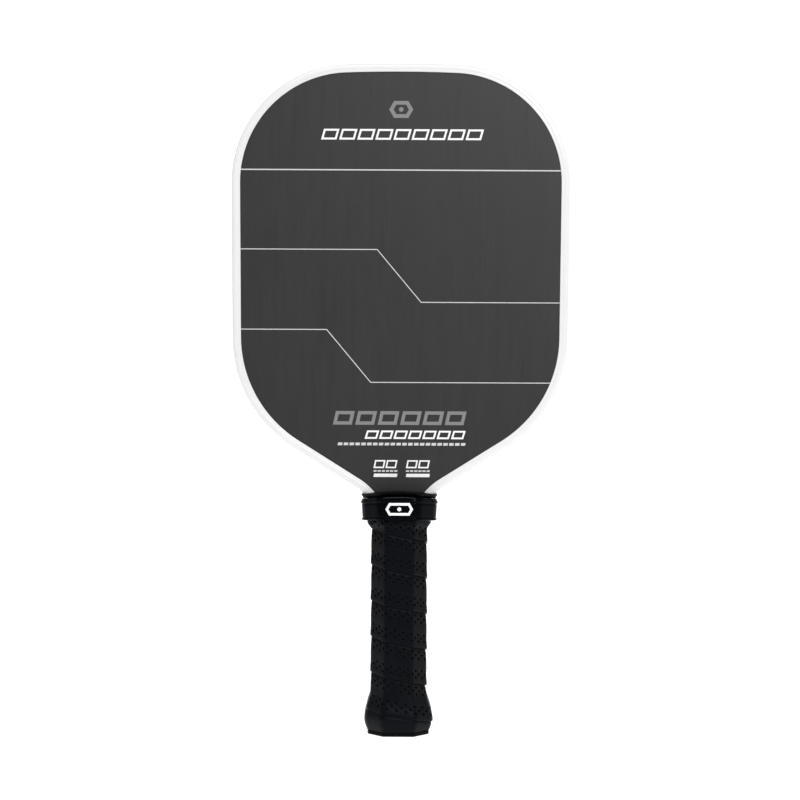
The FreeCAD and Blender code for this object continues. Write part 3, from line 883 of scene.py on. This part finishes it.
# ---- materials
class Finish:
    """A principled material, with helpers for its procedural detail."""

    def __init__(self, name, colour, roughness, **sockets):
        self.material = bpy.data.materials.new(name)
        self.material.use_nodes = True
        self.tree = self.material.node_tree
        self.shader = self.tree.nodes["Principled BSDF"]
        self.colour = colour
        self.shader.inputs["Base Color"].default_value = (*colour, 1)
        self.shader.inputs["Roughness"].default_value = roughness
        for socket, value in sockets.items():
            self.shader.inputs[socket.replace("_", " ")].default_value = value
        coordinates = self.tree.nodes.new("ShaderNodeTexCoord")
        self.place = coordinates.outputs["Object"]
        self.normal = None

    def link(self, out, into):
        """Joins an output to an input."""
        self.tree.links.new(out, into)

    def stretched(self, scale):
        """Object coordinates scaled along each axis."""
        mapping = self.tree.nodes.new("ShaderNodeMapping")
        mapping.inputs["Scale"].default_value = scale
        self.link(self.place, mapping.inputs["Vector"])
        return mapping.outputs["Vector"]

    def noise(self, scale, detail):
        """Soft random cloud, by its frequency along each axis and its number of octaves."""
        texture = self.tree.nodes.new("ShaderNodeTexNoise")
        texture.inputs["Scale"].default_value = 1.0
        texture.inputs["Detail"].default_value = detail
        texture.inputs["Roughness"].default_value = 0.55
        self.link(self.stretched(scale), texture.inputs["Vector"])
        return texture.outputs["Fac"]

    def waves(self, scale, direction, distortion=0.0):
        """Even ridges across one axis."""
        texture = self.tree.nodes.new("ShaderNodeTexWave")
        texture.bands_direction = direction
        texture.inputs["Scale"].default_value = 1.0
        texture.inputs["Distortion"].default_value = distortion
        self.link(self.stretched(scale), texture.inputs["Vector"])
        return texture.outputs["Fac"]

    def weave(self, distortion=0.0):
        """The square peel-ply weave left in the panel: ridges across X times ridges across Z."""
        warp = self.waves((WEAVE, 1, 1), "X", distortion)
        weft = self.waves((1, 1, WEAVE), "Z", distortion)
        return self.maths("MULTIPLY", warp, weft)

    def cells(self, scale):
        """Distance to the nearest of many scattered points, for pebbled grain."""
        texture = self.tree.nodes.new("ShaderNodeTexVoronoi")
        texture.inputs["Scale"].default_value = 1.0
        self.link(self.stretched(scale), texture.inputs["Vector"])
        return texture.outputs["Distance"]

    def span(self, value, low, high, from_low=0.0, from_high=1.0):
        """A value remapped from one range to another."""
        node = self.tree.nodes.new("ShaderNodeMapRange")
        node.inputs["From Min"].default_value = from_low
        node.inputs["From Max"].default_value = from_high
        node.inputs["To Min"].default_value = low
        node.inputs["To Max"].default_value = high
        self.link(value, node.inputs["Value"])
        return node.outputs["Result"]

    def maths(self, operation, first, second):
        """A sum or product of two values, each an output or a number."""
        node = self.tree.nodes.new("ShaderNodeMath")
        node.operation = operation
        for socket, value in zip(node.inputs, (first, second)):
            if isinstance(value, float):
                socket.default_value = value
            else:
                self.link(value, socket)
        return node.outputs["Value"]

    def tint(self, factor, dark, light):
        """The base colour mixed between two shades by a factor."""
        node = self.tree.nodes.new("ShaderNodeMix")
        node.data_type = "RGBA"
        node.inputs["A"].default_value = (*dark, 1)
        node.inputs["B"].default_value = (*light, 1)
        self.link(factor, node.inputs["Factor"])
        self.link(node.outputs["Result"], self.shader.inputs["Base Color"])

    def shade(self, factor, spread):
        """The base colour made darker and lighter by a share either way."""
        dark = tuple(c * (1 - spread) for c in self.colour)
        light = tuple(min(1.0, c * (1 + spread)) for c in self.colour)
        self.tint(factor, dark, light)

    def rough(self, factor, low, high):
        """Roughness that wanders between two values."""
        self.link(self.span(factor, low, high, 0.3, 0.7), self.shader.inputs["Roughness"])

    def bump(self, height, distance, strength=1.0):
        """Relief laid over any relief already there; distance is its height in metres."""
        node = self.tree.nodes.new("ShaderNodeBump")
        node.inputs["Strength"].default_value = strength
        node.inputs["Distance"].default_value = distance
        self.link(height, node.inputs["Height"])
        if self.normal:
            self.link(self.normal, node.inputs["Normal"])
        self.normal = node.outputs["Normal"]
        self.link(self.normal, self.shader.inputs["Normal"])


def carbon_finish():
    """Raw carbon: fibres along the paddle under a fine peel-ply weave, with faint handling streaks."""
    finish = Finish("raw_carbon", (0.017, 0.017, 0.0172), 0.46, Specular_IOR_Level=0.5)
    fibres = finish.noise((1500, 1500, 22), 4.0)
    bands = finish.noise((90, 90, 5), 3.0)
    cloud = finish.noise((14, 14, 10), 3.0)
    blend = finish.maths("ADD", finish.maths("MULTIPLY", fibres, 0.42), finish.maths("MULTIPLY", bands, 0.30))
    blend = finish.maths("ADD", blend, finish.maths("MULTIPLY", cloud, 0.28))
    finish.tint(finish.span(blend, 0.0, 1.0, 0.30, 0.70), (0.005, 0.005, 0.0051), (0.0135, 0.0135, 0.0136))
    finish.rough(finish.noise((260, 260, 30), 4.0), 0.40, 0.52)
    finish.bump(finish.weave(distortion=0.4), 0.00002, 0.55)
    finish.bump(fibres, 0.00003, 0.45)
    return finish.material


def guard_finish():
    """Glossy white extruded plastic, faintly drawn along its length and scuffed here and there."""
    finish = Finish("guard_plastic", (0.73, 0.73, 0.73), 0.22, Coat_Weight=0.4, Coat_Roughness=0.12)
    finish.shade(finish.noise((60, 60, 60), 3.0), 0.03)
    finish.rough(finish.noise((420, 420, 120), 3.0), 0.20, 0.27)
    finish.bump(finish.noise((500, 500, 500), 2.0), 0.00001, 0.15)
    return finish.material


def grip_finish():
    """Black cushioned wrap: a pebbled skin, slightly polished where the hand rubs it."""
    finish = Finish("grip_skin", (0.0012, 0.0014, 0.0019), 0.42, Specular_IOR_Level=0.085)
    finish.shader.inputs["Specular Tint"].default_value = (0.72, 0.86, 1.0, 1.0)
    wear = finish.noise((70, 70, 40), 3.0)
    finish.shade(wear, 0.35)
    finish.rough(wear, 0.32, 0.50)
    finish.bump(finish.cells((2300, 2300, 2300)), 0.00005, 0.35)
    finish.bump(finish.noise((240, 240, 150), 4.0), 0.00025, 0.35)
    return finish.material


def rubber_finish():
    """Moulded black rubber with a dusty bloom in places."""
    finish = Finish("collar_rubber_skin", (0.0003, 0.0006, 0.0012), 0.09, Specular_IOR_Level=0.048)
    finish.shader.inputs["Specular Tint"].default_value = (0.75, 0.88, 1.0, 1.0)
    bloom = finish.noise((150, 150, 220), 4.0)
    finish.shade(bloom, 0.35)
    finish.rough(bloom, 0.06, 0.11)
    finish.bump(finish.noise((1400, 1400, 1400), 3.0), 0.00002, 0.25)
    finish.bump(finish.noise((160, 160, 160), 2.0), 0.00008, 0.2)
    return finish.material


def moulded_finish(name, colour, roughness):
    """Spark-textured moulded plastic."""
    finish = Finish(name, colour, roughness, Specular_IOR_Level=0.05)
    finish.shade(finish.noise((120, 120, 120), 3.0), 0.2)
    finish.rough(finish.noise((500, 500, 500), 3.0), roughness - 0.08, roughness + 0.08)
    finish.bump(finish.noise((2600, 2600, 2600), 2.0), 0.00003, 0.5)
    return finish.material


def ink_finish(name, colour):
    """Screen-printed ink, a little uneven over the weave beneath."""
    finish = Finish(name, colour, 0.45, Specular_IOR_Level=0.4)
    finish.shade(finish.noise((900, 900, 900), 3.0), 0.08)
    finish.rough(finish.noise((300, 300, 300), 3.0), 0.38, 0.55)
    finish.bump(finish.weave(), 0.00001, 0.5)
    return finish.material


def core_finish():
    """Translucent welded honeycomb polymer."""
    finish = Finish("core_polymer", (0.74, 0.76, 0.74), 0.35, Transmission_Weight=0.35)
    finish.shade(finish.noise((200, 60, 200), 2.0), 0.05)
    finish.bump(finish.noise((300, 1500, 300), 3.0), 0.00004, 0.5)
    return finish.material


def fleece_finish():
    """Matted polyester fleece."""
    finish = Finish("scrim_fleece", (0.68, 0.68, 0.66), 0.9, Sheen_Weight=0.3)
    finish.shade(finish.noise((900, 900, 900), 5.0), 0.15)
    finish.bump(finish.noise((2200, 2200, 2200), 5.0), 0.0001, 0.8)
    return finish.material


def foam_finish():
    """Closed-cell foam tape."""
    finish = Finish("foam_tape", (0.66, 0.66, 0.64), 0.8)
    finish.shade(finish.noise((400, 400, 400), 3.0), 0.08)
    finish.bump(finish.cells((2500, 2500, 2500)), 0.0001, 0.6)
    return finish.material


def steel_finish():
    """Bright tack steel with turning marks."""
    finish = Finish("tack_steel", (0.60, 0.60, 0.59), 0.3, Metallic=1.0)
    finish.shade(finish.noise((800, 800, 800), 3.0), 0.08)
    finish.rough(finish.noise((2000, 2000, 2000), 3.0), 0.24, 0.4)
    finish.bump(finish.noise((3000, 3000, 3000), 2.0), 0.00001, 0.5)
    return finish.material


def vinyl_finish():
    """Glossy black finishing tape with small wrinkles round the handle."""
    finish = Finish("finishing_vinyl", (0.006, 0.006, 0.0065), 0.28, Specular_IOR_Level=0.15)
    finish.shade(finish.noise((300, 300, 300), 3.0), 0.2)
    finish.rough(finish.noise((220, 220, 500), 3.0), 0.2, 0.4)
    finish.bump(finish.noise((120, 120, 900), 3.0), 0.0001, 0.5)
    return finish.material


def dress_cad_nodes():
    """Procedural finishes for the CAD pieces that stay as they are."""
    carbon = carbon_finish()
    fleece = fleece_finish()
    shell = moulded_finish("shell_plastic", (0.0008, 0.0009, 0.0012), 0.36)
    finishes = {
        "honeycomb_core": core_finish(),
        "core_scrim_front": fleece,
        "core_scrim_back": fleece,
        "face_sheet_front": carbon,
        "face_sheet_back": carbon,
        "edge_guard_tape": foam_finish(),
        "handle_shell_front": shell,
        "handle_shell_back": shell,
        "butt_cap": moulded_finish("cap_plastic", (0.0014, 0.0017, 0.0023), 0.45),
        "butt_cap_tacks": steel_finish(),
        "grip_finishing_tape": vinyl_finish(),
    }
    for name, material in finishes.items():
        give(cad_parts[name], material)


# ---- camera, lights and stage
def set_camera():
    """Straight in front, about half way up the paddle, and very slightly rolled."""
    distance = 0.954
    seen = 0.4822  # height of the picture at the paddle
    side, height = 0.0001, 0.1995
    roll = math.radians(-0.28)
    camera = bpy.data.cameras.new("camera")
    camera.sensor_width = 36.0
    camera.lens = camera.sensor_width * distance / seen
    camera.clip_start = 0.01
    holder = bpy.data.objects.new("camera", camera)
    holder.location = (side, -distance, height)
    holder.rotation_euler = (math.radians(90), roll, 0)
    show(holder)
    bpy.context.scene.camera = holder


def soft_light(name, place, aim, width, height, power, colour=(1.0, 1.0, 1.0)):
    """A rectangular light, its power in watts, turned to face a point."""
    light = bpy.data.lights.new(name, "AREA")
    light.shape = "RECTANGLE"
    light.size = width
    light.size_y = height
    light.energy = power
    light.color = colour
    holder = bpy.data.objects.new(name, light)
    holder.location = place
    holder.rotation_euler = (Vector(aim) - Vector(place)).to_track_quat("-Z", "Y").to_euler()
    show(holder)


def set_lights():
    """A box high on the right, a wide one overhead, a weak one on the left, and a cool strip each side."""
    soft_light("key", (0.62, -1.55, 1.15), aim=(0.0, 0.0, 0.28), width=0.6, height=0.6, power=15.0)
    soft_light("overhead", (0.0, -0.95, 1.5), aim=(0.0, 0.0, 0.2), width=1.3, height=0.12, power=8.0)
    soft_light("fill", (-1.5, -0.9, 0.9), aim=(0.0, 0.0, 0.22), width=0.9, height=1.1, power=0.8)
    handle, cool = (0.0, 0.0, 0.15), (0.80, 0.90, 1.0)
    for name, x in (("strip_left", -0.75), ("strip_right", 0.75)):
        soft_light(name, (x, 0.15, 0.3), aim=handle, width=0.25, height=1.1, power=0.5, colour=cool)


def set_world():
    """Even white light from all round."""
    world = bpy.data.worlds.new("studio")
    world.use_nodes = True
    background = world.node_tree.nodes["Background"]
    background.inputs["Color"].default_value = (1.0, 1.0, 1.0, 1.0)
    background.inputs["Strength"].default_value = 0.50
    bpy.context.scene.world = world


def build_stage():
    """Floor that curves up into a wall behind: grey in front of the paddle, and white behind it with a
    painted glow that lights the paddle from behind and below and hides its shadow on the floor.
    """
    half, front, back, radius, top = 2.4, -2.5, 1.6, 0.6, 2.2
    steps = 12
    grey, white = (0.68, 0.68, 0.68), (0.92, 0.92, 0.92)
    profile = [(front, 0.0)]
    for k in range(steps + 1):
        angle = math.pi / 2 * k / steps
        profile.append((back - radius + radius * math.sin(angle), radius * (1 - math.cos(angle))))
    profile.append((back, top))
    vertices = [(x, y, z) for y, z in profile for x in (-half, half)]
    faces = [(2 * k, 2 * k + 1, 2 * k + 3, 2 * k + 2) for k in range(len(profile) - 1)]
    mesh = bpy.data.meshes.new("stage")
    mesh.from_pydata(vertices, [], faces)
    mesh.polygons.foreach_set("use_smooth", [True] * len(mesh.polygons))
    stage = bpy.data.objects.new("stage", mesh)
    show(stage)
    finish = Finish("stage_paper_painted_glow", white, 0.9)
    finish.shader.inputs["Emission Color"].default_value = (1.0, 1.0, 1.0, 1.0)
    place = finish.tree.nodes.new("ShaderNodeSeparateXYZ")
    finish.link(finish.place, place.inputs["Vector"])
    backwards = place.outputs["Y"]
    # painted light: the floor and wall glow from just in front of the paddle backwards, lighting the paddle
    # and hiding its shadow
    glow = finish.span(backwards, 0.0, 0.55, from_low=-0.30, from_high=-0.15)
    finish.link(glow, finish.shader.inputs["Emission Strength"])
    finish.tint(finish.span(backwards, 0.0, 1.0, from_low=-0.45, from_high=-0.2), grey, white)
    give(stage, finish.material)


# ---- the whole scene
def build_pieces():
    """Every visible piece, its material and the CAD node it stands in for."""
    dress_cad_nodes()

    strip = build_strip()
    give(strip, grip_finish())
    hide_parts("grip_wrap")

    guard = build_guard()
    give(guard, guard_finish())
    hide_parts("edge_guard")

    collar = build_collar()
    give(collar, rubber_finish())
    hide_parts("rubber_collar")

    mark = build_collar_mark()
    white = ink_finish("ink_white", (0.82, 0.82, 0.82))
    give(mark, ink_finish("mark_white", (0.86, 0.86, 0.86)))
    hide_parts("collar_emblem")

    badge = build_badge()
    give(badge, moulded_finish("badge_plastic", (0.015, 0.015, 0.016), 0.25))
    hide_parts("butt_badge")

    grey = ink_finish("ink_grey", (0.19, 0.19, 0.19))
    build_graphics(white, grey, ink_finish("ink_fine", (0.56, 0.56, 0.56)))


set_camera()
set_world()
set_lights()
build_stage()
build_pieces()
bpy.context.scene.view_settings.view_transform = "Standard"
